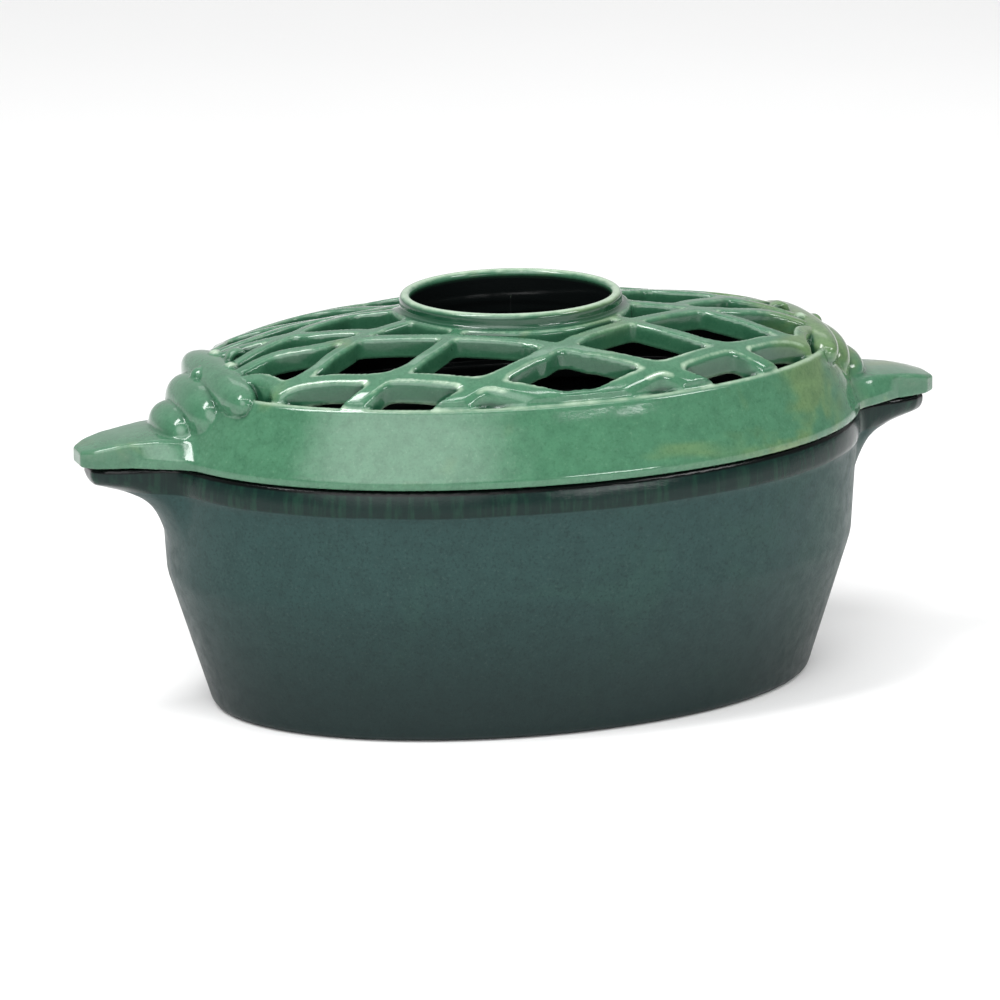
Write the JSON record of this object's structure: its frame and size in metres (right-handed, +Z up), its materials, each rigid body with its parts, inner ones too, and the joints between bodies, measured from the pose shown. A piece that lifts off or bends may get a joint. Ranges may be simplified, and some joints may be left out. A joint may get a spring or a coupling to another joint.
{
  "type": "wood stove steamer",
  "caption": "Oval cast-iron stove humidifier: an open pot with end lugs and a loose domed lattice lid with a filler collar.",
  "frame": {"origin": "centre of the pot's flat base, on the surface it stands on", "axes": "+Z up, X along the oval's long axis through the two end lugs, -Y the long side shown to the viewer"},
  "size_m": [0.3526, 0.186, 0.1583],
  "materials": {
    "pot_enamel": "dark green porcelain enamel on cast iron, satin on the wall and glossy at the rim",
    "lid_enamel": "glossy mottled green porcelain enamel on cast iron"
  },
  "bodies": {
    "pot": {"pot": "pot_enamel"},
    "lid": {"lattice_lid": "lid_enamel"}
  },
  "joints": [
    {"name": "lid_lift", "type": "slide", "parent": "pot", "child": "lid", "axis": [0, 0, 1], "range_m": [0, 0.12]}
  ]
}
